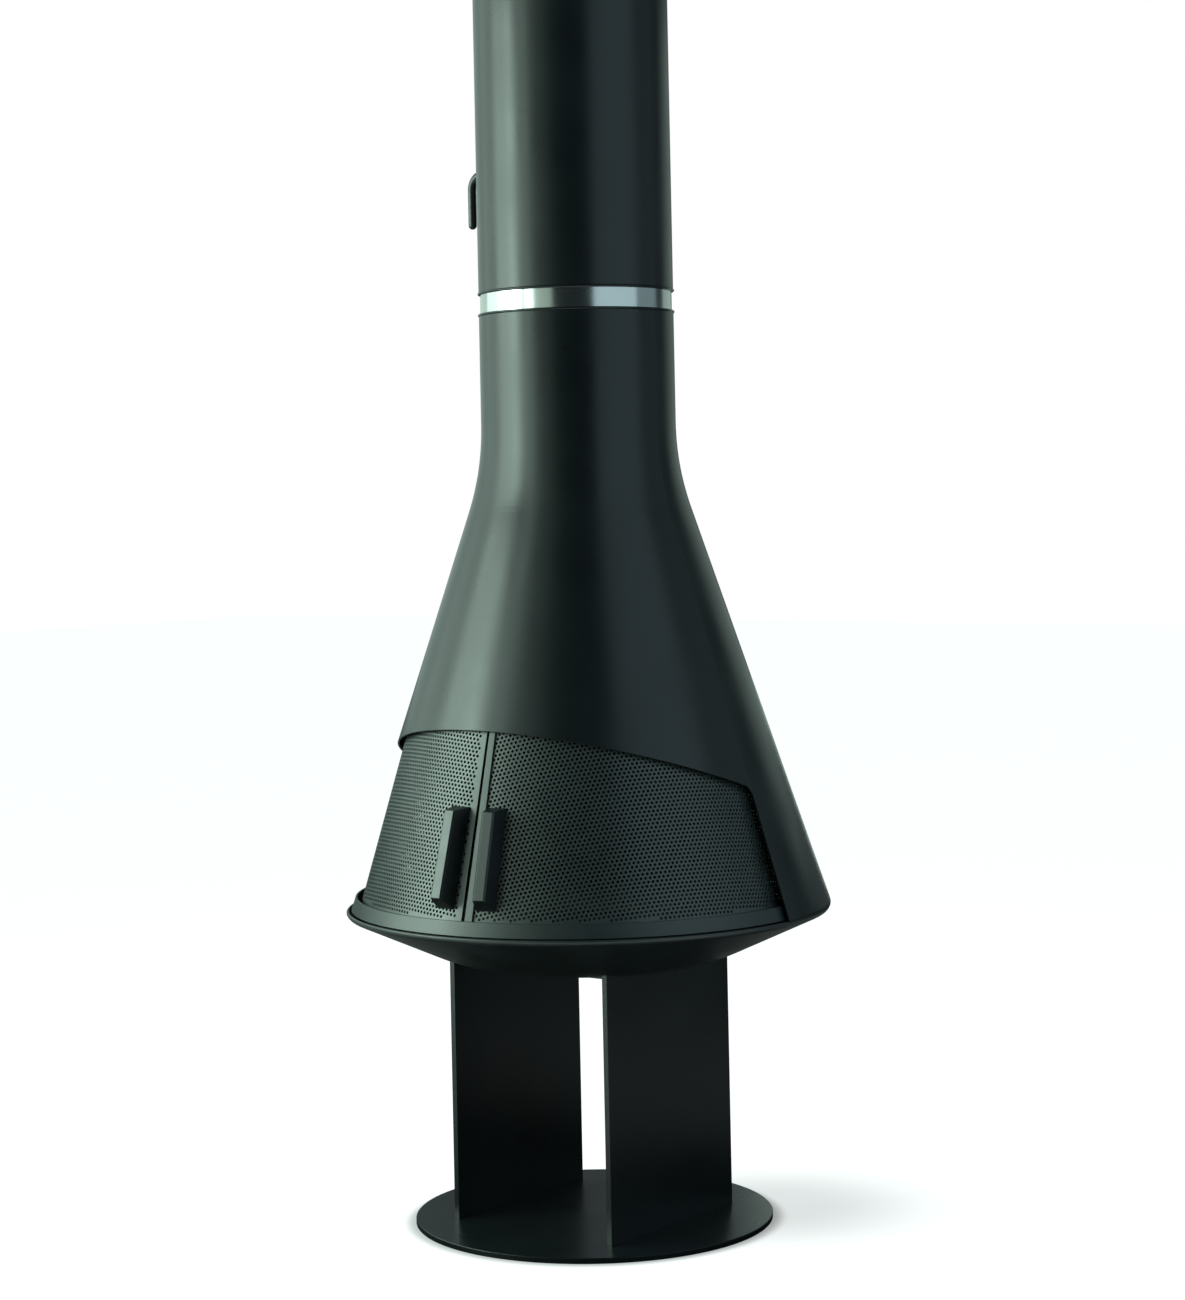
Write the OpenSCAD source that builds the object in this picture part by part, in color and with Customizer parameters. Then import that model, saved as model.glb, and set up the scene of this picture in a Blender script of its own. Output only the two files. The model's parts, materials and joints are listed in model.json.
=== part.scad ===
// Central wood fireplace: a conical hood with two sliding perforated doors, on two upright plates.
// Millimetres. The origin is the middle of the base's underside, +Z is up and the fire opens towards -Y.

/* [Pedestal] */
// Diameter of the round base plate
base_d = 640; // [600:10:700]
// Thickness of the round base plate
base_t = 10; // [8:1:12]
// Clear width between the two upright plates
pedestal_gap = 332; // [300:4:340]
// Depth of each upright plate, front to back
pedestal_l = 360; // [340:5:390]
// Thickness of each upright plate
pedestal_t = 10; // [8:1:12]
// Depth of the plate that ties the two uprights under the bowl
tie_l = 200; // [190:10:230]
// Thickness of that plate
tie_t = 8; // [6:1:10]
// Shank diameter of the four bolts that hold the bowl
bolt_d = 10; // [8:1:12]

/* [Bowl and rim] */
// Diameter at which the hood's side and the bowl's underside would meet without rounding
hood_d = 875; // [850:5:900]
// Height of that meeting line above the floor
hearth_h = 556.5; // [520:0.5:600]
// Angle of the bowl's underside, from level
bowl_slope = 24.2; // [23.6:0.2:25]
// Level distance from that meeting line in to the bowl's level middle
bowl_run = 292.5; // [285:2.5:300]
// Radius of the curve between the level middle and the sloping side
dish_r = 346; // [300:2:360]
// Outside radius of the rounding between the bowl's underside and the hood's side
edge_r = 13.5; // [12.5:0.5:15]
// Thickness of the bowl, the hood and the lip
sheet_t = 3; // [2.5:0.25:3.5]
// Radius of the curl along the bowl's edge, in the opening
curl_r = 3; // [2.5:0.25:3.5]
// Height of the slot between that curl and the lip
slot_h = 1; // [0.5:0.25:3]
// Height of the lip
lip_h = 23.5; // [22:0.5:27]
// How far the lip stands behind the hood's surface, measured level
lip_inset = 10.5; // [9.5:0.5:12]

/* [Hood and flue] */
// Angle of the hood's side, from upright
hood_slope = 18.4; // [17.6:0.2:19.2]
// Outside diameter of the flue
flue_d = 350; // [330:5:370]
// Radius of the bend between hood and neck
neck_r = 490; // [400:10:560]
// Straight length of neck above the bend
neck_l = 200; // [150:2:240]
// Visible height of the bright joint band
band_h = 34; // [28:1:44]
// Height of each bead beside the band
bead_h = 4.5; // [4:0.5:6]
// How far each bead stands proud of the flue
bead_out = 1.8; // [1:0.2:2.4]
// Length of the flue's sleeve above the band
sleeve_l = 632; // [600:4:900]
// Inside diameter of the flue's inner pipe
pipe_d = 250; // [230:5:260]
// Depth of the socket at the inner pipe's top
socket_l = 50; // [40:5:70]

/* [Opening] */
// Height of the opening at its sides, above its sill
side_h = 229; // [210:1:245]
// Angle at which the opening's top edge rises to the front
open_tilt = 19; // [17:0.5:20]
// How far the opening's side edges lie in front of the axis
side_y = 1; // [0:0.5:8]
// Radius of the opening's two upper corners
corner_r = 22; // [14:1:28]

/* [Doors] */
// Thickness of the perforated sheet
mesh_t = 2; // [1.5:0.25:2.5]
// Thickness of the frame bars behind the sheet
frame_t = 3; // [2.5:0.5:4]
// Width of the frame bars
frame_w = 14; // [12:1:16]
// Width of the raised strip where the doors meet
strip_w = 13; // [10:1:14]
// Thickness of that strip
strip_t = 4; // [3:0.5:4.5]
// Gap between the closed doors
seam_gap = 8; // [4:0.5:9]
// Angle round the axis of each door
door_angle = 97; // [96.5:0.5:98]
// Angle of the closed doors' meeting line, from the front
seam_angle = 6.5; // [5:0.5:6.5]
// Width of each handle's grip face
handle_w = 22; // [18:0.5:24]
// Length of each handle's grip face
handle_l = 149; // [130:1:160]
// How far each handle spreads at its door, on each side
handle_side = 7; // [4:0.5:8]
// How far each handle spreads at its door, at each end
handle_end = 13; // [8:1:22]
// How far each handle stands off its door
handle_out = 32; // [26:1:36]
// Distance of each handle from the meeting line
handle_off = 38; // [37:1:41]
// Radius of the door rollers
roller_r = 7; // [6.5:0.25:7.5]

/* [Fire bed and damper] */
// Diameter of the cast grate
grate_d = 248; // [236:4:256]
// Thickness of the cast grate
grate_t = 10; // [8:1:12]
// Height of the damper's shaft above the joint
damper_h = 267; // [255:1:300]
// Diameter of the damper's lever rod
lever_d = 15.5; // [13:0.5:16]
// Hanging length of the lever
lever_l = 100; // [90:2:120]
// Distance of the lever's rod from the flue
lever_off = 63; // [54:1:70]

/* [Hidden] */
$fn = 96;

// Shares, counts and angles
function edge_break_share(s) = s * 0.1;
function half_share(s) = s * 0.5;
function tab_turn_share(s) = s * 0.005;
arc_steps = 14;
spacer_count = 3;
slot_count = 9;
shield_angle = 170;

// Clearances, all in the piece's own lengths
over = base_t * 0.2;
fit = sheet_t * 0.07;
run = bolt_d * 0.005;
loose = sheet_t * 0.2;
play = bolt_d * 0.05;
socket_fit = sheet_t * 0.168;

// Rim and bowl
rc = hood_d / 2;
hood_k = tan(hood_slope);
bowl_k = tan(bowl_slope);
sheet_h = sheet_t / cos(hood_slope);
apex_z = hearth_h + rc / hood_k;
flat_r = rc - bowl_run;
dish_end_r = flat_r + dish_r * sin(bowl_slope);
bowl_drop = bowl_run * bowl_k - dish_r * (1 / cos(bowl_slope) - 1);
bowl_z = hearth_h - bowl_drop;
corner_in = 90 - hood_slope + bowl_slope;
edge_reach = edge_r / sin(corner_in / 2);
edge_turn = 90 + hood_slope + corner_in / 2;
edge_x = rc + edge_reach * cos(edge_turn);
edge_z = hearth_h + edge_reach * sin(edge_turn);
sill_z = edge_z - edge_r * 0.35;
sill_turn = -asin((edge_z - sill_z) / edge_r);
curl_x = edge_x + (edge_r - curl_r - fit) * cos(sill_turn);
curl_z = edge_z + (edge_r - curl_r - fit) * sin(sill_turn);

// Neck, joint and flue
flue_r = flue_d / 2;
flue_in = flue_r - sheet_t;
neck_cut = neck_r * tan(hood_slope / 2);
neck_z = apex_z - flue_r / hood_k;
bend_top = neck_z + neck_cut;
joint_z = bend_top + neck_l;
band_top = joint_z + band_h;
sleeve_z = band_top + bead_h;
top_z = sleeve_z + sleeve_l;
pipe_r = pipe_d / 2;
pipe_t = sheet_t * 0.7;
pipe_out = pipe_r + pipe_t;
socket_r = pipe_out + socket_fit;
socket_z = top_z - socket_l;

// Lip, slot and track
lip_z = curl_z + curl_r + slot_h;
lip_top = lip_z + lip_h;
track_z = lip_z + sheet_t;

// Opening's top edge, doors and their guide
open_k = tan(open_tilt);
side_z = sill_z + side_h;
front_z = (side_z + open_k * hood_k * apex_z) / (1 + open_k * hood_k);
door_z = lip_top - lip_h * 0.2;
door_top = front_z + frame_w * 0.8;
hood_room = strip_t * 0.9;
lip_room = strip_t * 1.6;
door_low_r = cone_r(door_z) - lip_inset - sheet_h - strip_t - lip_room;
door_top_r = cone_r(door_top) - sheet_h - strip_t - hood_room;
door_k = (door_low_r - door_top_r) / (door_top - door_z);
door_lean = atan(door_k);
mesh_h = mesh_t / cos(door_lean);
frame_h = frame_t / cos(door_lean);
door_in = mesh_h + frame_h;
guide_z = front_z + frame_w * 0.35;
guide_t = sheet_t * 0.8;
guide_room = strip_t * 0.4;
guide_top = door_top + frame_w * 0.5;
plate_z = guide_top;
roller_z = track_z + roller_r + run;
roller_w = roller_r * 1.15;
hanger_t = sheet_t;
roller_mid_r = door_r(roller_z + roller_r) - door_in - hanger_t / cos(door_lean) - play - roller_w / 2;
axle_r = roller_r * 0.35;
track_in = roller_mid_r - roller_w * 1.4;
seam_half = atan(seam_gap / 2 / door_r((door_z + door_top) / 2));
handle_z = door_z + (door_top - door_z) * 0.32;
handle_turn = asin(handle_off / door_r(handle_z));

// Fire bed
bed_r = track_in - sheet_t * 0.7;
bed_top = hearth_h - edge_r * 0.55;
grate_r = grate_d / 2;
bed_low = bed_top - grate_t * 1.6;
bed_foot_r = dish_end_r + edge_r * 0.9;
pan_r = grate_r * 0.8;
pan_ledge = bed_low - grate_t * 2;
shield_low_r = bed_r - sheet_t;
shield_top_r = door_top_r - door_in - guide_room - guide_t - sheet_t * 3;
smoke_r = shield_top_r - sheet_t * 4;
smoke_z = plate_z + sheet_t;
smoke_top = smoke_z + flue_d * 0.83;

// Damper
damper_z = joint_z + damper_h;
shaft_r = bolt_d / 2;
shaft_x = flue_r + sheet_t + play;
collar_x = pipe_out + sheet_t + play;
bush_r = shaft_r * 1.8;
lever_x = flue_r + lever_off;
lever_r = lever_d / 2;
lever_bend = lever_d * 1.75;
bolt_place = flat_r * 0.38;

// Radii at a height
function cone_r(z) = (apex_z - z) * hood_k;
function hood_in(z) = cone_r(z) - sheet_h;
function bowl_in(r) = hearth_h - (rc - r) * bowl_k + sheet_t / cos(bowl_slope);
function door_r(z) = door_low_r - (z - door_z) * door_k;
function arc(x, z, r, a0, a1) = [for (i = [0:arc_steps]) let (a = a0 + (a1 - a0) * i / arc_steps)
  [x + r * cos(a), z + r * sin(a)]];

// Outline of the shell's surface from the bowl's middle to the neck, inset by t
function shell_low(t) = concat([[0, bowl_z + t]],
  arc(flat_r, bowl_z + dish_r, dish_r - t, -90, -90 + bowl_slope));
function shell_rim(t) = arc(edge_x, edge_z, edge_r - t, -90 + bowl_slope, hood_slope);
function shell_neck(t) = concat(arc(flue_r + neck_r, bend_top, neck_r + t, 180 + hood_slope, 180),
  [[flue_r - t, joint_z - bead_h]]);
function backwards(p) = [for (i = [len(p) - 1:-1:0]) p[i]];

// Turned solid of an outline, or a part turn of it centred on an angle from the front
module turned(p) {
  rotate_extrude() polygon(p);
}
module part_turn(p, from, to) {
  rotate([0, 0, from - 90]) rotate_extrude(angle = to - from) polygon(p);
}
module tube(r_in, r_out, z, h) {
  turned([[r_in, z], [r_out, z], [r_out, z + h], [r_in, z + h]]);
}
module bar_x(r, x0, x1) {
  translate([x0, 0, damper_z]) rotate([0, 90, 0]) cylinder(r = r, h = x1 - x0);
}
module at_door(turn, z) {
  rotate([0, 0, turn]) translate([0, -door_r(z), z]) rotate([-door_lean, 0, 0]) children();
}
module shell_outline() {
  polygon(concat(shell_low(0), shell_rim(0), shell_neck(0),
    backwards(shell_neck(sheet_t)), backwards(shell_rim(sheet_t)), backwards(shell_low(sheet_t))));
}
module bowl_block() {
  turned(concat(shell_low(0), [[rc, hearth_h], [rc, hearth_h + edge_r], [0, hearth_h + edge_r]]));
}

// Base and pedestal
module base_plate() {
  c = edge_break_share(base_t);
  color([0.13, 0.14, 0.14])
    turned([[0, 0], [base_d / 2 - c, 0], [base_d / 2, c], [base_d / 2, base_t - c],
      [base_d / 2 - c, base_t], [0, base_t]]);
}
module upright(side) {
  color([0.1, 0.11, 0.11])
    difference() {
      translate([side * (pedestal_gap + pedestal_t) / 2 - pedestal_t / 2, -pedestal_l / 2, base_t])
        cube([pedestal_t, pedestal_l, hearth_h - base_t]);
      bowl_block();
    }
}
module left_upright() {
  upright(-1);
}
module right_upright() {
  upright(1);
}
module at_bolts() {
  for (x = [-1, 1])
    for (y = [-1, 1])
      translate([x * bolt_place, y * bolt_place, bowl_z])
        children();
}
module tie_plate() {
  color([0.12, 0.13, 0.13])
    difference() {
      translate([-pedestal_gap / 2, -tie_l / 2, bowl_z - tie_t]) cube([pedestal_gap, tie_l, tie_t]);
      at_bolts()
        translate([0, 0, -tie_t - over])
          cylinder(r = bolt_d / 2 + fit, h = tie_t + over * 2);
    }
}
module bowl_bolts() {
  color([0.45, 0.46, 0.47])
    at_bolts() {
      translate([0, 0, -tie_t - bolt_d * 0.65])
        cylinder(r = bolt_d * 0.9, h = bolt_d * 0.65, $fn = 6);
      translate([0, 0, -tie_t])
        cylinder(r = bolt_d / 2, h = tie_t + sheet_t + bolt_d * 1.1);
    }
}
module bowl_nuts() {
  color([0.45, 0.46, 0.47])
    at_bolts()
      translate([0, 0, sheet_t])
        difference() {
          cylinder(r = bolt_d * 0.9, h = bolt_d * 0.8, $fn = 6);
          translate([0, 0, -over])
            cylinder(r = bolt_d / 2 + run, h = bolt_d * 0.8 + over * 2);
        }
}

// Bowl, its rim and the lip with the roller track
module hearth_bowl() {
  color([0.12, 0.14, 0.14])
    union() {
      difference() {
        rotate_extrude()
          intersection() {
            shell_outline();
            translate([0, bowl_z - over])
              square([rc + over, sill_z - bowl_z + over]);
          }
        at_bolts()
          translate([0, 0, -over])
            cylinder(r = bolt_d / 2 + fit, h = sheet_t + over * 2);
      }
      edge_curl();
    }
}
module edge_curl() {
  turn = 90 - asin((side_y + loose) / edge_x);
  rotate([0, 0, -turn - 90])
    rotate_extrude(angle = turn * 2)
      translate([curl_x, curl_z])
        circle(r = curl_r);
}
module track_wall() {
  r0 = roller_mid_r - sheet_t * 0.6;
  r1 = roller_mid_r + sheet_t * 0.6;
  color([0.2, 0.21, 0.21])
    turned([[r0, bowl_in(r0)], [r1, bowl_in(r1)], [r1, lip_z], [r0, lip_z]]);
}
module lip_ring() {
  a = cone_r(lip_z) - lip_inset;
  b = cone_r(lip_top) - lip_inset;
  c = cone_r(track_z) - lip_inset - sheet_h;
  color([0.2, 0.22, 0.22])
    turned([[track_in, lip_z], [a, lip_z], [b, lip_top], [b - sheet_h, lip_top], [c, track_z],
      [track_in, track_z]]);
}

// Fire bed, grate, ash pan and the shield behind the fire
module fire_bed() {
  color([0.55, 0.5, 0.43])
    turned([[pan_r + loose, bowl_in(bed_foot_r)], [bed_foot_r, bowl_in(bed_foot_r)],
      [bed_r, bowl_in(bed_r)], [bed_r, bed_top], [shield_low_r - sheet_t * 3, bed_top],
      [grate_r + loose, bed_low], [grate_r + loose, bed_low - grate_t], [pan_r + grate_t, bed_low - grate_t],
      [pan_r + grate_t, pan_ledge], [pan_r + loose, pan_ledge]]);
}
module fire_grate() {
  z = bed_low - grate_t;
  pitch = pan_r * 2 / (slot_count + 1);
  slot = half_share(pitch);
  reach = pan_r - slot;
  color([0.16, 0.16, 0.17])
    difference() {
      translate([0, 0, z]) cylinder(r = grate_r, h = grate_t);
      for (i = [0:slot_count - 1])
        let (x = (i - (slot_count - 1) / 2) * pitch, l = sqrt(reach * reach - x * x))
          translate([x - slot / 2, -l, z - over])
            cube([slot, l * 2, grate_t + over * 2]);
    }
}
module ash_pan() {
  t = sheet_t * 0.6;
  low = bowl_z + sheet_t + bolt_d * 1.3;
  color([0.3, 0.31, 0.32])
    turned([[0, low], [pan_r, low], [pan_r, pan_ledge], [pan_r + grate_t * 0.8, pan_ledge],
      [pan_r + grate_t * 0.8, pan_ledge + t], [pan_r - t, pan_ledge + t],
      [pan_r - t, low + t], [0, low + t]]);
}
module back_shield() {
  color([0.25, 0.25, 0.25])
    part_turn([[shield_low_r - sheet_t, bed_top], [shield_low_r, bed_top], [shield_top_r, plate_z],
      [shield_top_r - sheet_t, plate_z]], 180 - shield_angle / 2, 180 + shield_angle / 2);
}

// Hood with its slanted opening
module opening_outline() {
  far = rc + over * 4;
  back = -side_y;
  top = side_z + open_k * side_y;
  mid_a = (90 + open_tilt) / 2;
  cy = back - corner_r;
  cz = top + open_k * corner_r - corner_r / cos(open_tilt);
  union() {
    polygon([[-far, sill_z - over], [cy, sill_z - over], [cy, side_z - open_k * cy],
      [-far, side_z + open_k * far]]);
    polygon([[cy - over, sill_z - over], [back, sill_z - over], [back, cz], [cy - over, cz]]);
    intersection() {
      translate([cy, cz]) circle(r = corner_r);
      polygon([[cy - corner_r * sin(open_tilt), cz - over], [back + over, cz - over],
        [back + over, cz + corner_r + over], [cy - corner_r * sin(open_tilt), cz + corner_r + over]]);
    }
  }
}
module hood() {
  color([0.13, 0.15, 0.15])
    difference() {
      rotate_extrude()
        intersection() {
          shell_outline();
          translate([0, sill_z])
            square([rc + over, top_z - sill_z]);
        }
      translate([-rc - over, 0, 0])
        rotate([90, 0, 90])
          linear_extrude(height = (rc + over) * 2)
            opening_outline();
    }
}
module throat_plate() {
  r0 = shield_top_r - sheet_t * 7;
  color([0.2, 0.2, 0.2])
    turned([[r0, plate_z], [hood_in(plate_z), plate_z], [hood_in(plate_z + sheet_t), plate_z + sheet_t],
      [r0, plate_z + sheet_t]]);
}
module door_guide() {
  a = guide_room;
  b = guide_room + guide_t;
  web = guide_top - guide_t;
  i = door_in + guide_room;
  color([0.2, 0.21, 0.21])
    turned([[door_r(guide_z) + a, guide_z], [door_r(guide_z) + b, guide_z],
      [door_r(guide_top) + b, guide_top], [door_r(guide_top) - i - guide_t, guide_top],
      [door_r(guide_z) - i - guide_t, guide_z], [door_r(guide_z) - i, guide_z],
      [door_r(web) - i, web], [door_r(web) + a, web]]);
}
module smoke_cone() {
  r = pipe_out + fit;
  t = sheet_t * 0.8;
  collar_top = smoke_top + pipe_r * 0.3;
  color([0.2, 0.2, 0.2])
    turned([[smoke_r - t, smoke_z], [smoke_r, smoke_z], [r + t, smoke_top], [r + t, collar_top],
      [r, collar_top], [r, smoke_top]]);
}

// Flue: inner pipe, joint band with its beads, outer sleeve and spacers
module flue_pipe() {
  color([0.5, 0.51, 0.52])
    difference() {
      turned([[pipe_r, smoke_top], [pipe_out, smoke_top], [pipe_out, socket_z - pipe_t],
        [socket_r + pipe_t, socket_z], [socket_r + pipe_t, top_z], [socket_r, top_z], [socket_r, socket_z],
        [pipe_r, socket_z]]);
      bar_x(bush_r + fit, -flue_r, flue_r);
    }
}
module joint_band() {
  color([0.72, 0.73, 0.74])
    tube(flue_in - sheet_t * 0.6, flue_in, joint_z - band_h, band_h * 3);
}
module bead(z) {
  c = bead_out;
  color([0.1, 0.11, 0.11])
    turned([[flue_in, z], [flue_r, z],
      [flue_r + c * 0.7, z + bead_h * 0.15], [flue_r + c, z + bead_h * 0.4],
      [flue_r + c, z + bead_h * 0.6], [flue_r + c * 0.7, z + bead_h * 0.85], [flue_r, z + bead_h],
      [flue_in, z + bead_h]]);
}
module lower_bead() {
  bead(joint_z - bead_h);
}
module upper_bead() {
  bead(band_top);
}
module flue_sleeve() {
  color([0.13, 0.15, 0.15])
    difference() {
      tube(flue_in, flue_r, sleeve_z, sleeve_l);
      bar_x(bush_r + fit, -flue_r - over, 0);
    }
}
module spacers(z) {
  turn = tab_turn_share(360);
  color([0.4, 0.41, 0.42])
    for (i = [0:spacer_count - 1])
      part_turn([[pipe_out, z], [flue_in, z], [flue_in, z + band_h], [pipe_out, z + band_h]],
        i * 360 / spacer_count - turn, i * 360 / spacer_count + turn);
}
module lower_spacers() {
  spacers(sleeve_z + band_h * 1.5);
}
module upper_spacers() {
  spacers(socket_z - band_h * 1.5);
}

// Damper
module bushing(seat) {
  color([0.62, 0.56, 0.38])
    difference() {
      union() {
        bar_x(bush_r, pipe_r, seat + sheet_t);
        bar_x(bush_r * 1.5, seat, seat + sheet_t);
      }
      bar_x(shaft_r + run, pipe_r - over, seat + sheet_t + over);
    }
}
module left_bushing() {
  mirror([1, 0, 0]) bushing(flue_r);
}
module right_bushing() {
  bushing(pipe_out);
}
module damper_shaft() {
  color([0.55, 0.56, 0.57])
    bar_x(shaft_r, -shaft_x, collar_x + bolt_d);
}
module damper_disc() {
  t = sheet_t;
  color([0.42, 0.42, 0.43])
    translate([0, shaft_r + t, damper_z]) rotate([90, 0, 0]) cylinder(r = pipe_r - sheet_t * 1.3, h = t);
}
module damper_clips() {
  g = sheet_t * 0.7;
  w = bolt_d * 1.2;
  color([0.55, 0.56, 0.57])
    for (s = [-1, 1])
      difference() {
        translate([s * half_share(pipe_r) - w / 2, -shaft_r - g, damper_z - shaft_r - g])
          cube([w, shaft_r * 2 + g, (shaft_r + g) * 2]);
        bar_x(shaft_r, -pipe_r, pipe_r);
        translate([-pipe_r, 0, damper_z - shaft_r])
          cube([pipe_d, shaft_r + over, shaft_r * 2]);
      }
}
module damper_lever() {
  xb = lever_x - lever_bend;
  color([0.12, 0.13, 0.13])
    union() {
      bar_x(lever_r, -xb, -shaft_x);
      translate([-xb, 0, damper_z - lever_bend])
        rotate([90, 0, 0])
          rotate([0, 0, 90])
            rotate_extrude(angle = 90)
              translate([lever_bend, 0])
                circle(r = lever_r);
      translate([-lever_x, 0, damper_z - lever_l])
        turned(concat([[0, lever_l - lever_bend]], [[0, 0]],
          arc(0, lever_r, lever_r, -90, 0), [[lever_r, lever_l - lever_bend]]));
    }
}
module shaft_collar() {
  color([0.55, 0.56, 0.57])
    difference() {
      bar_x(bush_r, collar_x, collar_x + bolt_d);
      bar_x(shaft_r, collar_x - over, collar_x + bolt_d + over);
    }
}

// Doors: s is -1 for the left one and 1 for the right one
function door_from(s) = s < 0 ? seam_angle - door_angle : seam_angle + seam_half;
function door_to(s) = s < 0 ? seam_angle - seam_half : seam_angle + door_angle;
module door_solid() {
  turned([[0, door_z - edge_r], [door_r(door_z - edge_r), door_z - edge_r],
    [door_r(door_top + edge_r), door_top + edge_r], [0, door_top + edge_r]]);
}
module door_layer(a, b, z0, z1, from, to) {
  part_turn([[door_r(z0) - b, z0], [door_r(z0) - a, z0], [door_r(z1) - a, z1], [door_r(z1) - b, z1]],
    from, to);
}
module at_screws(s) {
  for (k = [-1, 1])
    at_door(seam_angle + s * handle_turn, handle_z)
      translate([0, 0, k * handle_l * 0.35])
        rotate([90, 0, 0])
          children();
}
module mesh(s) {
  color([0.36, 0.42, 0.4])
    difference() {
      door_layer(0, mesh_h, door_z, door_top, door_from(s), door_to(s));
      at_screws(s)
        translate([0, 0, -handle_out])
          cylinder(r = axle_r + fit, h = handle_out * 2);
    }
}
module frame(s) {
  turn = asin(frame_w / door_low_r);
  color([0.2, 0.22, 0.22])
    difference() {
      door_layer(mesh_h, door_in, door_z, door_top, door_from(s), door_to(s));
      door_layer(mesh_h - over, door_in + over, door_z + frame_w, door_top - frame_w, door_from(s) + turn,
        door_to(s) - turn);
    }
}
module handle(s) {
  l = handle_l / 2;
  d = handle_out;
  c = edge_break_share(handle_w);
  w = handle_w / 2;
  base_w = w + handle_side * (1 + over / d);
  brow_w = w + handle_side * c / d;
  base_l = l + handle_end * (1 + over / d);
  color([0.2, 0.23, 0.22])
    difference() {
      at_door(seam_angle + s * handle_turn, handle_z)
        intersection() {
          translate([-base_w, 0, 0])
            rotate([90, 0, 90])
              linear_extrude(height = base_w * 2)
                polygon([[-d, -l], [-d, l], [over, base_l], [over, -base_l]]);
          translate([0, 0, -base_l])
            linear_extrude(height = base_l * 2)
              polygon([[-base_w, over], [-brow_w, c - d], [c - w, -d], [w - c, -d], [brow_w, c - d],
                [base_w, over]]);
        }
      door_solid();
      at_screws(s)
        translate([0, 0, -over * 2])
          cylinder(r = axle_r, h = handle_out * 0.5 + over * 2);
    }
}
module screws(s) {
  color([0.4, 0.41, 0.42])
    at_screws(s) {
      translate([0, 0, -mesh_t - fit])
        cylinder(r = axle_r, h = handle_out * 0.5 + mesh_t + fit);
      translate([0, 0, -mesh_t - fit - axle_r * 0.6])
        cylinder(r = axle_r * 3, h = axle_r * 0.6);
      translate([0, 0, -mesh_t - fit - axle_r * 2])
        cylinder(r = axle_r * 1.8, h = axle_r * 1.4);
    }
}
function roller_turn(s, i) = let (a = asin(frame_w * 1.6 / door_low_r))
  (s < 0) == (i < 1) ? door_from(s) + a : door_to(s) - a;
module hangers(s) {
  low = roller_z - roller_r * 0.65;
  z1 = door_z + frame_w * 0.9;
  color([0.3, 0.31, 0.32])
    for (i = [0, 1])
      difference() {
        let (a = asin(frame_w * 0.6 / door_low_r))
          door_layer(door_in, door_in + hanger_t / cos(door_lean), low, z1, roller_turn(s, i) - a,
            roller_turn(s, i) + a);
        rotate([0, 0, roller_turn(s, i)])
          translate([0, 0, roller_z])
            rotate([90, 0, 0])
              cylinder(r = axle_r, h = rc);
      }
}
module axles(s) {
  r0 = roller_mid_r - roller_w / 2 - axle_r;
  r1 = door_r(roller_z) - door_in * 0.5;
  color([0.6, 0.61, 0.62])
    for (i = [0, 1])
      rotate([0, 0, roller_turn(s, i)])
        translate([0, -r0, roller_z])
          rotate([90, 0, 0]) {
            cylinder(r = axle_r, h = r1 - r0);
            cylinder(r = axle_r * 1.6, h = axle_r * 0.8);
          }
}
module roller(s, i) {
  c = edge_break_share(roller_r);
  h = roller_w / 2;
  r0 = axle_r + run;
  color([0.5, 0.5, 0.5])
    rotate([0, 0, roller_turn(s, i)])
      translate([0, -roller_mid_r, roller_z])
        rotate([90, 0, 0])
          turned([[r0, -h], [roller_r - c, -h], [roller_r, c - h], [roller_r, h - c], [roller_r - c, h],
            [r0, h]]);
}
module left_mesh() {
  mesh(-1);
}
module left_frame() {
  frame(-1);
}
module left_handle() {
  handle(-1);
}
module left_screws() {
  screws(-1);
}
module left_hangers() {
  hangers(-1);
}
module left_axles() {
  axles(-1);
}
module left_roller_a() {
  roller(-1, 0);
}
module left_roller_b() {
  roller(-1, 1);
}
module right_mesh() {
  mesh(1);
}
module right_frame() {
  frame(1);
}
module right_strip() {
  w = strip_w / door_r(handle_z) * 180 / PI;
  z1 = guide_z - guide_t;
  color([0.36, 0.42, 0.4])
    door_layer(-strip_t, 0, door_z + sheet_t, z1, door_from(1), door_from(1) + w);
}
module right_handle() {
  handle(1);
}
module right_screws() {
  screws(1);
}
module right_hangers() {
  hangers(1);
}
module right_axles() {
  axles(1);
}
module right_roller_a() {
  roller(1, 0);
}
module right_roller_b() {
  roller(1, 1);
}

base_plate();
left_upright();
right_upright();
tie_plate();
bowl_bolts();
bowl_nuts();
hearth_bowl();
track_wall();
lip_ring();
fire_bed();
fire_grate();
ash_pan();
back_shield();
hood();
throat_plate();
door_guide();
smoke_cone();
flue_pipe();
joint_band();
lower_bead();
upper_bead();
flue_sleeve();
lower_spacers();
upper_spacers();
left_bushing();
right_bushing();
damper_shaft();
damper_disc();
damper_clips();
damper_lever();
shaft_collar();
left_mesh();
left_frame();
left_handle();
left_screws();
left_hangers();
left_axles();
left_roller_a();
left_roller_b();
right_mesh();
right_frame();
right_strip();
right_handle();
right_screws();
right_hangers();
right_axles();
right_roller_a();
right_roller_b();
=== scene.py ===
"""Central wood fireplace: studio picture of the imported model, in metres and in its own frame."""
import json
from math import atan, atan2, ceil, cos, hypot, pi, radians, sin, sqrt, tan

import bpy
from mathutils import Matrix, Vector
from mathutils.geometry import delaunay_2d_cdt


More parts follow.
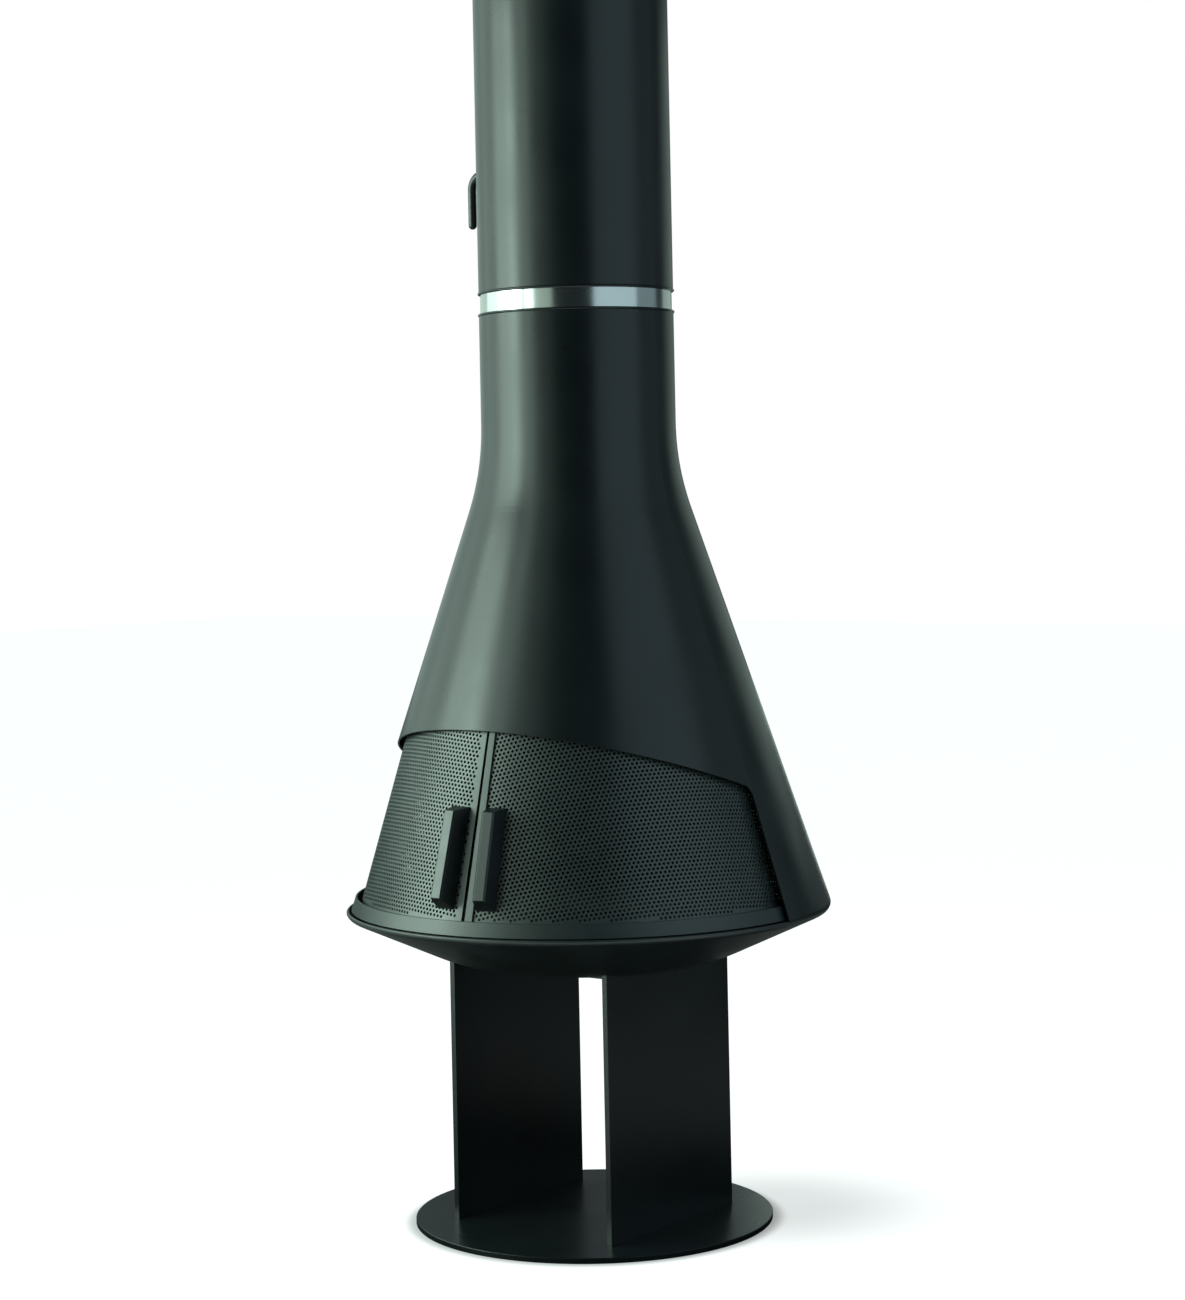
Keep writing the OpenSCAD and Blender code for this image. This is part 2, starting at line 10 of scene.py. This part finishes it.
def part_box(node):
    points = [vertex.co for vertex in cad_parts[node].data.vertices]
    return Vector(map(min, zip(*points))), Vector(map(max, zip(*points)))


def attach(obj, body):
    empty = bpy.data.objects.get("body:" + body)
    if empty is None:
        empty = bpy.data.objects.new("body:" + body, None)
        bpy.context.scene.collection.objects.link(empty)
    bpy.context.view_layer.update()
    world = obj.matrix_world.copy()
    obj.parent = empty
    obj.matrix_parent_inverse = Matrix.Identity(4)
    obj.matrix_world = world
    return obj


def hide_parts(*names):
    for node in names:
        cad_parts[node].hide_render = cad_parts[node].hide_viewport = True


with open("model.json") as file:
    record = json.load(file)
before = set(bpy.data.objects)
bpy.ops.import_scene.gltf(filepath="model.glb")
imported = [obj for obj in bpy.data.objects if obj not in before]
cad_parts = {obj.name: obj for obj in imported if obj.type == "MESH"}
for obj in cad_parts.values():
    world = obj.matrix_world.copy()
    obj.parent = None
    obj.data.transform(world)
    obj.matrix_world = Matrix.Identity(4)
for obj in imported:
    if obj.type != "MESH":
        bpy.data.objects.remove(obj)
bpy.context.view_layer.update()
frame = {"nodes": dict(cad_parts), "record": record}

NODES = frame["nodes"]
MM = 0.001

# Camera, fitted to the photo: a view camera that looks level, with its lens shifted down
PHOTO_HEIGHT_PX = 1300
FOCAL_PX = 2863.9
LENS_SHIFT_PX = (19.4, -153.6)
CAMERA_TURN = radians(38)
CAMERA_DISTANCE = 5.1488
CAMERA_ASIDE = -0.0123
CAMERA_HEIGHT = 1.2951
CAMERA_ROLL = -0.0205
SENSOR_MM = 36.0

TO_CAMERA = Vector((sin(CAMERA_TURN), -cos(CAMERA_TURN), 0))
TO_RIGHT = Vector((cos(CAMERA_TURN), sin(CAMERA_TURN), 0))
UP = Vector((0, 0, 1))

# Perforated sheet of the doors: holes, plain margins, and the turn in degrees at which the rows lie level
HOLE_PITCH = 8 * MM
ROW_PITCH = HOLE_PITCH * sqrt(3) / 2
HOLE_R = 2.5 * MM
HOLE_SIDES = 12
SIDE_MARGIN = 9 * MM
END_MARGIN = 5 * MM
MARGINS = (SIDE_MARGIN, SIDE_MARGIN, END_MARGIN, END_MARGIN)
LEVEL_ROW_TURN = {"left": -22, "right": 65}

# Least area of a kept triangle, spread of points taken as one ring or as one point, angle of a sharp edge
LEAST_AREA = 0.01 * MM * MM
SAME_RING = 0.1 * MM
SAME_POINT = 1e-7
SHARP_EDGE = radians(40)

# Studio lamps: name, turn from the camera to its right and width in degrees, lowest and highest
# point in metres, level, tint
LAMP_DISTANCE = 3.2
WARM_TINT = (0.84, 1.12, 0.97)
COOL_TINT = (0.76, 1.05, 1.13)
LAMPS = (
    ("key", -88, 30, 0.7, 2.85, 5.0, WARM_TINT),
    ("key_core", -74, 13, 0.05, 2.8, 5.5, WARM_TINT),
    ("key_edge", -57, 11, 0.3, 3.7, 3.0, WARM_TINT),
    ("front_left", -39, 22, 0.3, 4.6, 0.42, WARM_TINT),
    ("left_side", -118, 27, 1.0, 3.5, 1.5, WARM_TINT),
    ("left_back", -150, 36, 1.0, 3.5, 0.62, WARM_TINT),
    ("right_fill", 48, 56, 0.2, 4.6, 0.66, COOL_TINT),
    ("right_side", 93, 32, 0.2, 3.3, 0.25, COOL_TINT),
    ("right_back", 142, 34, 0.9, 2.7, 0.33, WARM_TINT),
    ("base_back", 164, 14, 0.3, 0.9, 1.2, WARM_TINT),
)


# Noise and relief that all finishes share
NOISE_SPAN = (0.3, 0.7)
PATCH_DETAIL = 4.0
GRAIN_DETAIL = 2.0
GRAIN_STRENGTH = 0.35
BEVEL_SAMPLES = 6


# Small helpers for node trees

def add(tree, kind, settings=None, **inputs):
    """A shader node with its settings and inputs; an input that is a socket is linked."""
    made = tree.nodes.new(kind)
    for key, value in (settings or {}).items():
        setattr(made, key, value)
    for key, value in inputs.items():
        socket = made.inputs[key.replace("_", " ")]
        if isinstance(value, bpy.types.NodeSocket):
            tree.links.new(value, socket)
        else:
            socket.default_value = value
    return made


def blank(name):
    """A new material's empty node tree and its output node."""
    made = bpy.data.materials.new(name)
    made.use_nodes = True
    tree = made.node_tree
    tree.nodes.clear()
    return made, tree, tree.nodes.new("ShaderNodeOutputMaterial")


def spread(tree, factor, low, high):
    """Maps a noise factor to the range from low to high."""
    start, end = NOISE_SPAN
    return add(tree, "ShaderNodeMapRange", Value=factor, From_Min=start, From_Max=end, To_Min=low,
               To_Max=high).outputs[0]


def noise(tree, place, scale, detail, stretch=None):
    """Noise in object space; stretch scales the space along X, Y and Z first."""
    if stretch:
        place = add(tree, "ShaderNodeMapping", Vector=place, Scale=stretch).outputs[0]
    return add(tree, "ShaderNodeTexNoise", Vector=place, Scale=scale, Detail=detail).outputs[0]


def tones(tree, factor, colour, change):
    """The colour, lighter and darker by the given share along a noise factor."""
    dark = [c * (1 - change) for c in colour] + [1]
    light = [c * (1 + change) for c in colour] + [1]
    # A colour mix has its two colours at inputs 6 and 7 and its result at output 2
    mixed = add(tree, "ShaderNodeMix", {"data_type": "RGBA"})
    tree.links.new(spread(tree, factor, 0, 1), mixed.inputs[0])
    mixed.inputs[6].default_value = dark
    mixed.inputs[7].default_value = light
    return mixed.outputs[2]


def surface(name, colour, roughness, metallic=0.0, change=0.12, patch=7.0, grain=1500.0, grain_depth=0.00002,
            edge=0.0008, rough_change=0.04, stretch=None, anisotropic=0.0, shine=0.5):
    """A finish with mottled colour and roughness, fine grain and softened edges."""
    made, tree, out = blank(name)
    place = add(tree, "ShaderNodeTexCoord").outputs["Object"]
    patches = noise(tree, place, patch, PATCH_DETAIL)
    grains = noise(tree, place, grain, GRAIN_DETAIL, stretch)
    soft_edge = add(tree, "ShaderNodeBevel", {"samples": BEVEL_SAMPLES}, Radius=edge).outputs[0]
    bump = add(tree, "ShaderNodeBump", Strength=GRAIN_STRENGTH, Distance=grain_depth, Height=grains,
               Normal=soft_edge)
    shader = add(
        tree, "ShaderNodeBsdfPrincipled", Base_Color=tones(tree, patches, colour, change), Metallic=metallic,
        Roughness=spread(tree, patches, roughness - rough_change, roughness + rough_change),
        Specular_IOR_Level=shine, Anisotropic=anisotropic, Normal=bump.outputs[0],
    )
    if anisotropic:
        tangent = add(tree, "ShaderNodeTangent", {"direction_type": "RADIAL", "axis": "Z"}).outputs[0]
        tree.links.new(tangent, shader.inputs["Tangent"])
    tree.links.new(shader.outputs[0], out.inputs[0])
    return made


# Materials, one for each material slot of the record

SATIN_PAINT = (0.0075, 0.0105, 0.0122)
# The doors' sheet paint is a lighter copy of the satin paint, lightened as painted light on the sheet
SHEET_PAINT_WITH_PAINTED_LIGHT = (0.036, 0.048, 0.047)
# The lip and rim paint is a lighter copy of the satin paint, lightened as painted light; its higher roughness
# is its own finish
RIM_PAINT_WITH_PAINTED_LIGHT = (0.02, 0.027, 0.028)
FINISHES = {
    "satin_black_paint": surface("satin_paint", SATIN_PAINT, 0.3),
    "dark_inner_paint": surface("inner_paint", (0.006, 0.006, 0.006), 0.6, change=0.3, patch=18),
    # Lip and rim: the satin paint lightened as painted light, with a rougher finish
    "rim_paint": surface("rim_paint", RIM_PAINT_WITH_PAINTED_LIGHT, 0.42, patch=12, shine=0.75),
    # Door sheet: the satin paint lightened as painted light
    "door_paint": surface("door_paint", SHEET_PAINT_WITH_PAINTED_LIGHT, 0.38, patch=14, edge=0.0004, shine=0.8),
    "handle_paint": surface("handle_paint", SATIN_PAINT, 0.32, patch=25, edge=0.0014, shine=0.65),
    "fire_bed_board": surface("mineral_board", (0.04, 0.036, 0.031), 0.9, change=0.25, patch=30, grain=420,
                              grain_depth=0.0004, edge=0.002),
    "cast_grate": surface("cast_iron", (0.035, 0.034, 0.034), 0.62, metallic=0.7, patch=40, grain=700,
                          grain_depth=0.0002, edge=0.0015),
    "pan_steel": surface("pan_steel", (0.26, 0.26, 0.26), 0.45, metallic=1.0, patch=20),
    "bright_steel": surface("bright_steel", (0.62, 0.63, 0.62), 0.15, metallic=1.0, change=0.03, patch=16,
                            grain=260, grain_depth=0.00001, edge=0.0004, rough_change=0.02,
                            stretch=(1, 1, 14), anisotropic=0.45),
    "pipe_steel": surface("pipe_steel", (0.5, 0.5, 0.5), 0.32, metallic=1.0, patch=10, grain=300,
                          stretch=(1, 1, 9), anisotropic=0.3),
    "zinc_steel": surface("zinc_steel", (0.48, 0.49, 0.5), 0.34, metallic=1.0, change=0.2, patch=120),
    "shaft_steel": surface("turned_steel", (0.55, 0.55, 0.56), 0.25, metallic=1.0, patch=60),
    "bush_brass": surface("brass", (0.6, 0.45, 0.2), 0.3, metallic=1.0, patch=60),
}
for row in frame["record"]["subparts"]:
    skin = NODES[row["node"]].data.materials
    skin.clear()
    skin.append(FINISHES[row["material_slot"]])


# Making of the doors' perforated sheets

def turn_of(v):
    """The angle of a point round the axis, from the front towards +X."""
    return atan2(v.x, -v.y)


class Cone:
    """The conical sheet of a door, rolled out flat: x along the sheet, y away from the cone's tip."""

    def __init__(self, node, level_turn):
        points = [v.co for v in NODES[node].data.vertices]
        low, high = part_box(node)
        self.low_r = max(hypot(p.x, p.y) for p in points if p.z < low[2] + SAME_RING)
        self.top_r = max(hypot(p.x, p.y) for p in points if p.z > high[2] - SAME_RING)
        self.inner_r = min(hypot(p.x, p.y) for p in points if p.z < low[2] + SAME_RING)
        self.slope = (self.low_r - self.top_r) / (high[2] - low[2])
        self.lean = atan(self.slope)
        self.tip = low[2] + self.low_r / self.slope
        self.thick = (self.low_r - self.inner_r) * cos(self.lean)
        self.level_turn = radians(level_turn)
        turns = [turn_of(p) for p in points if hypot(p.x, p.y) > self.low_r - SAME_RING]
        self.turns = (min(turns), max(turns))
        self.reach = (self.top_r / sin(self.lean), self.low_r / sin(self.lean))

    def flat(self, turn, reach):
        a = (turn - self.level_turn) * sin(self.lean)
        return reach * sin(a), reach * cos(a)

    def polar(self, x, y):
        return self.level_turn + atan2(x, y) / sin(self.lean), hypot(x, y)

    def rolled(self, x, y, depth):
        """The point of the rolled sheet, at a depth below its outer face."""
        turn, reach = self.polar(x, y)
        r = reach * sin(self.lean) - depth * cos(self.lean)
        return r * sin(turn), -r * cos(turn), self.tip - reach * cos(self.lean) - depth * sin(self.lean)

    def room(self, x, y):
        """Distances from a point to the sheet's two side edges, its top edge and its bottom edge."""
        turn, reach = self.polar(x, y)
        first, last = (reach * sin(a * sin(self.lean)) for a in (turn - self.turns[0], self.turns[1] - turn))
        return first, last, reach - self.reach[0], self.reach[1] - reach


def middle(row, place):
    """Middle of a hole; each second row is shifted by half a pitch."""
    return (place + row % 2 / 2) * HOLE_PITCH, row * ROW_PITCH


def hole_cells(cone):
    """Middles of the holes, in straight staggered rows on the flat sheet, as {(row, place): (x, y)}."""
    widest = (cone.turns[1] - cone.turns[0]) * sin(cone.lean)
    rows = range(int(cone.reach[0] * cos(widest) / ROW_PITCH) - 2, int(cone.reach[1] / ROW_PITCH) + 2)
    places = range(-ceil(cone.reach[1] / HOLE_PITCH), ceil(cone.reach[1] / HOLE_PITCH))
    cells = {}
    for row in rows:
        for place in places:
            x, y = middle(row, place)
            if abs(cone.polar(x, y)[0] - sum(cone.turns) / 2) > cone.turns[1] - cone.turns[0]:
                continue
            if all(room > margin + HOLE_R for room, margin in zip(cone.room(x, y), MARGINS)):
                cells[row, place] = (x, y)
    return cells


def nearest_cell(x, y):
    """Row and place of the hole whose six-sided cell holds the point."""
    first = int(y // ROW_PITCH)
    options = []
    for row in (first, first + 1):
        place = round(x / HOLE_PITCH - row % 2 / 2)
        middle_x, middle_y = middle(row, place)
        options.append((hypot(x - middle_x, y - middle_y), (row, place)))
    return min(options)[1]


def area(points, face):
    """Signed area of a flat face."""
    ring = [points[p] for p in face]
    return sum(a[0] * b[1] - b[0] * a[1] for a, b in zip(ring, ring[1:] + ring[:1])) / 2


def sheet_plan(cone):
    """Points and faces of the flat sheet: a ring of faces round each hole, and triangles out to the edges."""
    cells = hole_cells(cone)
    points, faces, known = [], [], {}

    def shared(x, y):
        key = (round(x / MM, 3), round(y / MM, 3))
        if key not in known:
            known[key] = len(points)
            points.append((x, y))
        return known[key]

    used = {}
    for x, y in cells.values():
        outer, inner = [], []
        for i in range(HOLE_SIDES):
            a = 2 * pi * i / HOLE_SIDES
            out = HOLE_PITCH / 2 if i % 2 == 0 else HOLE_PITCH / sqrt(3)
            outer.append(shared(x + out * cos(a), y + out * sin(a)))
            inner.append(len(points))
            points.append((x + HOLE_R * cos(a), y + HOLE_R * sin(a)))
        for i in range(HOLE_SIDES):
            j = (i + 1) % HOLE_SIDES
            faces.append((inner[i], outer[i], outer[j], inner[j]))
            edge = frozenset((outer[i], outer[j]))
            used[edge] = used.get(edge, 0) + 1

    steps = ceil((cone.turns[1] - cone.turns[0]) * cone.low_r / HOLE_PITCH)
    rises = ceil((cone.reach[1] - cone.reach[0]) / HOLE_PITCH)
    turn = [cone.turns[0] + (cone.turns[1] - cone.turns[0]) * i / steps for i in range(steps + 1)]
    reach = [cone.reach[0] + (cone.reach[1] - cone.reach[0]) * i / rises for i in range(rises + 1)]
    rim = [cone.flat(t, reach[0]) for t in turn]
    rim += [cone.flat(turn[-1], s) for s in reach[1:]]
    rim += [cone.flat(t, reach[-1]) for t in reversed(turn[:-1])]
    rim += [cone.flat(turn[0], s) for s in reversed(reach[1:-1])]
    border = [shared(x, y) for x, y in rim]
    edges = [tuple(e) for e, n in used.items() if n == 1]
    edges += list(zip(border, border[1:] + border[:1]))

    ids = sorted({p for e in edges for p in e})
    place = {p: i for i, p in enumerate(ids)}
    _, _, triangles, origins, _, _ = delaunay_2d_cdt(
        [Vector(points[p]) for p in ids], [(place[a], place[b]) for a, b in edges], [], 0, SAME_POINT)
    back = [ids[o[0]] if o else None for o in origins]
    for t in triangles:
        corners = [back[i] for i in t]
        x, y = (sum(points[p][k] for p in corners) / 3 for k in (0, 1))
        solid = min(cone.room(x, y)) > 0 and nearest_cell(x, y) not in cells
        if solid and abs(area(points, corners)) > LEAST_AREA:
            faces.append(tuple(corners))
    return points, faces


def perforated_sheet(side):
    """The door's sheet with its real holes, in place of the plain solid."""
    node = side + "_mesh"
    cone = Cone(node, LEVEL_ROW_TURN[side])
    points, faces = sheet_plan(cone)
    # On the flat sheet y runs down the cone, so a face with negative area looks outwards
    faces = [f if area(points, f) < 0 else f[::-1] for f in faces]
    count = len(points)
    corners = [cone.rolled(x, y, 0) for x, y in points] + [cone.rolled(x, y, cone.thick) for x, y in points]
    edges = {(a, b) for f in faces for a, b in zip(f, f[1:] + f[:1])}
    walls = [(b, a, a + count, b + count) for a, b in edges if (b, a) not in edges]
    mesh = bpy.data.meshes.new(side + "_sheet")
    mesh.from_pydata(corners, [], faces + [tuple(p + count for p in reversed(f)) for f in faces] + walls)
    mesh.polygons.foreach_set("use_smooth", [True] * len(mesh.polygons))
    mesh.set_sharp_from_angle(angle=SHARP_EDGE)
    mesh.materials.append(FINISHES["door_paint"])
    sheet = bpy.data.objects.new(side + "_sheet", mesh)
    bpy.context.scene.collection.objects.link(sheet)
    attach(sheet, side + "_door")
    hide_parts(node)


for side in LEVEL_ROW_TURN:
    perforated_sheet(side)


# Floor, world, lamps and camera

# Floor as the camera sees it, with a painted contact shadow, a dark line along the base plate's edge, and a
# soft painted shade beside it
FLOOR_TINT = (0.97, 1.01, 1.0)
# Width and level of the painted contact shadow along the base plate's edge
PAINTED_CONTACT_SHADOW_WIDTH = 0.03
PAINTED_CONTACT_SHADOW_LEVEL = 0.45
# Place, radii and level of the painted shade on the floor beside the base
PAINTED_SHADE_PLACE = TO_RIGHT * 0.33 - TO_CAMERA * 0.05
PAINTED_SHADE_CORE_R = 0.072
PAINTED_SHADE_R = 0.36
PAINTED_SHADE_LEVEL = 0.72
FLOOR_HALF = 20
FLOOR_GREY = (0.25, 0.25, 0.25, 1)

# Floor as other rays see it: its grey near the object, darkened there as painted shade, and far off, and
# where that rise starts and ends
BOUNCE_GREY_AND_PAINTED_SHADE = (0.05, 0.25)
BOUNCE_RISE = (0.6, 1.6)

# Share of the pale background in what mirrored rays meet: far behind the object, on the floor and in the
# world, and in a ring of near floor, most of it towards the camera. Each rise or fall has the two places
# between which it runs, in metres, or for the world as cosines of the angle from straight behind
PALE_REACH = 0.07
FAR_FLOOR = (3.0, 6.0)
WORLD_REACH = (0.6, 1)
NEAR_REACH = (0.12, 1)
NEAR_START = (0.7, 0.9)
NEAR_END = (1.5, 2.4)
NEAR_FRONT = (0.3, 0.6)

# The world's dim light on the object, lowest on the camera's side, and the cosines of its rise
WORLD_DIM = (0.02, 0.08)
WORLD_TURN = (0.1, 0.9)


def product(tree, first, second):
    """The two values multiplied."""
    made = add(tree, "ShaderNodeMath", {"operation": "MULTIPLY"})
    tree.links.new(first, made.inputs[0])
    tree.links.new(second, made.inputs[1])
    return made.outputs[0]


def along(tree, place, way):
    """How far a place lies along a direction."""
    made = add(tree, "ShaderNodeVectorMath", {"operation": "DOT_PRODUCT"})
    tree.links.new(place, made.inputs[0])
    made.inputs[1].default_value = way
    return made.outputs["Value"]


def mapped(tree, value, start, end, low, high):
    """Low up to start, high from end on, and a smooth rise between them."""
    return add(tree, "ShaderNodeMapRange", {"interpolation_type": "SMOOTHSTEP"}, Value=value, From_Min=start,
               From_Max=end, To_Min=low, To_Max=high).outputs[0]


def pale_rays(tree, reach):
    """1 for camera rays, and for mirrored and passed rays the share that meets the pale background."""
    path = add(tree, "ShaderNodeLightPath").outputs
    mirrored = add(tree, "ShaderNodeMath", {"operation": "MAXIMUM"})
    tree.links.new(path["Is Glossy Ray"], mirrored.inputs[0])
    tree.links.new(path["Is Transmission Ray"], mirrored.inputs[1])
    seen = add(tree, "ShaderNodeMath", {"operation": "MAXIMUM"})
    tree.links.new(path["Is Camera Ray"], seen.inputs[0])
    tree.links.new(product(tree, mirrored.outputs[0], reach), seen.inputs[1])
    return seen.outputs[0]


def mixed(tree, factor, first, second):
    """The second shader where the factor is 1, the first where it is 0."""
    made = tree.nodes.new("ShaderNodeMixShader")
    for socket, value in zip(made.inputs, (factor, first, second)):
        tree.links.new(value, socket)
    return made.outputs[0]


def pale_floor():
    """A pale floor that reads as white to the camera, with painted shadow in its glow and the object's real
    shadow on its matt grey.
    """
    base_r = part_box("base_plate")[1][0]
    mesh = bpy.data.meshes.new("floor")
    corners = [(x * FLOOR_HALF, y * FLOOR_HALF, 0) for x, y in ((-1, -1), (1, -1), (1, 1), (-1, 1))]
    mesh.from_pydata(corners, [], [(0, 1, 2, 3)])
    made, tree, out = blank("floor")
    place = add(tree, "ShaderNodeNewGeometry").outputs["Position"]
    away = add(tree, "ShaderNodeVectorMath", {"operation": "LENGTH"}, Vector=place).outputs["Value"]
    from_painted_shade = add(tree, "ShaderNodeVectorMath", {"operation": "DISTANCE"})
    tree.links.new(place, from_painted_shade.inputs[0])
    from_painted_shade.inputs[1].default_value = PAINTED_SHADE_PLACE
    # Painted contact shadow: the floor's glow dims along the base plate's edge
    painted_contact_shadow = mapped(tree, away, base_r, base_r + PAINTED_CONTACT_SHADOW_WIDTH, PAINTED_CONTACT_SHADOW_LEVEL, 1)
    # Painted shade: the floor's glow dims in a soft patch beside the base plate
    painted_shade = mapped(tree, from_painted_shade.outputs["Value"], PAINTED_SHADE_CORE_R, PAINTED_SHADE_R, PAINTED_SHADE_LEVEL, 1)
    level = product(tree, painted_contact_shadow, painted_shade)
    # The glow is the evenly bright floor, dimmed by both painted shadows
    glow = add(tree, "ShaderNodeEmission", Color=(*FLOOR_TINT, 1), Strength=level).outputs[0]
    matt = add(tree, "ShaderNodeBsdfDiffuse", Color=FLOOR_GREY).outputs[0]
    both = tree.nodes.new("ShaderNodeAddShader")
    tree.links.new(glow, both.inputs[0])
    tree.links.new(matt, both.inputs[1])
    far = mapped(tree, along(tree, place, -TO_CAMERA), *FAR_FLOOR, 0, PALE_REACH)
    ring = product(tree, mapped(tree, away, *NEAR_START, 0, 1), mapped(tree, away, *NEAR_END, 1, 0))
    near = product(tree, ring, mapped(tree, along(tree, place, TO_CAMERA), *NEAR_FRONT, *NEAR_REACH))
    reach = add(tree, "ShaderNodeMath", {"operation": "ADD"})
    tree.links.new(far, reach.inputs[0])
    tree.links.new(near, reach.inputs[1])
    # Painted shade: the floor that other rays see is darker near the object
    grey_and_painted_shade = mapped(tree, away, *BOUNCE_RISE, *BOUNCE_GREY_AND_PAINTED_SHADE)
    bounce = add(tree, "ShaderNodeBsdfDiffuse", Color=grey_and_painted_shade).outputs[0]
    tree.links.new(mixed(tree, pale_rays(tree, reach.outputs[0]), bounce, both.outputs[0]), out.inputs[0])
    mesh.materials.append(made)
    floor = bpy.data.objects.new("floor", mesh)
    bpy.context.scene.collection.objects.link(floor)


def studio_world():
    """White to the camera and, by a small share behind the object, to mirrored rays; dim otherwise."""
    world = bpy.data.worlds.new("studio")
    bpy.context.scene.world = world
    world.use_nodes = True
    tree = world.node_tree
    tree.nodes.clear()
    behind = along(tree, add(tree, "ShaderNodeTexCoord").outputs["Generated"], -TO_CAMERA)
    level = mapped(tree, behind, *WORLD_TURN, *WORLD_DIM)
    dim = add(tree, "ShaderNodeBackground", Color=(*COOL_TINT, 1), Strength=level).outputs[0]
    white = add(tree, "ShaderNodeBackground", Color=(1, 1, 1, 1), Strength=1.0).outputs[0]
    reach = mapped(tree, behind, *WORLD_REACH, 0, PALE_REACH)
    out = tree.nodes.new("ShaderNodeOutputWorld")
    tree.links.new(mixed(tree, pale_rays(tree, reach), dim, white), out.inputs[0])


def soft_box(name, turn, span, low, high, level, tint):
    """An upright soft lamp that faces the fireplace's axis."""
    data = bpy.data.lights.new(name, "AREA")
    data.shape = "RECTANGLE"
    data.size = 2 * LAMP_DISTANCE * tan(radians(span) / 2)
    data.size_y = high - low
    data.energy = level * pi * data.size * data.size_y
    data.color = tint
    lamp = bpy.data.objects.new(name, data)
    bpy.context.scene.collection.objects.link(lamp)
    a = radians(turn)
    way = TO_CAMERA * cos(a) + TO_RIGHT * sin(a)
    across = UP.cross(way)
    lamp.matrix_world = Matrix.Translation(way * LAMP_DISTANCE + UP * (low + high) / 2) @ Matrix(
        (across, UP, way)).transposed().to_4x4()
    lamp.visible_camera = False


def view_camera():
    """The camera of the photo."""
    data = bpy.data.cameras.new("camera")
    data.sensor_fit = "VERTICAL"
    data.sensor_height = SENSOR_MM
    data.lens = FOCAL_PX / PHOTO_HEIGHT_PX * SENSOR_MM
    data.shift_x, data.shift_y = (s / PHOTO_HEIGHT_PX for s in LENS_SHIFT_PX)
    camera = bpy.data.objects.new("camera", data)
    bpy.context.scene.collection.objects.link(camera)
    right = (TO_RIGHT + UP * CAMERA_ROLL).normalized()
    camera.matrix_world = Matrix.Translation(
        TO_CAMERA * CAMERA_DISTANCE + TO_RIGHT * CAMERA_ASIDE + UP * CAMERA_HEIGHT
    ) @ Matrix((right, TO_CAMERA.cross(right), TO_CAMERA)).transposed().to_4x4()
    bpy.context.scene.camera = camera


pale_floor()
studio_world()
for lamp in LAMPS:
    soft_box(*lamp)
view_camera()
bpy.context.scene.view_settings.view_transform = "Standard"
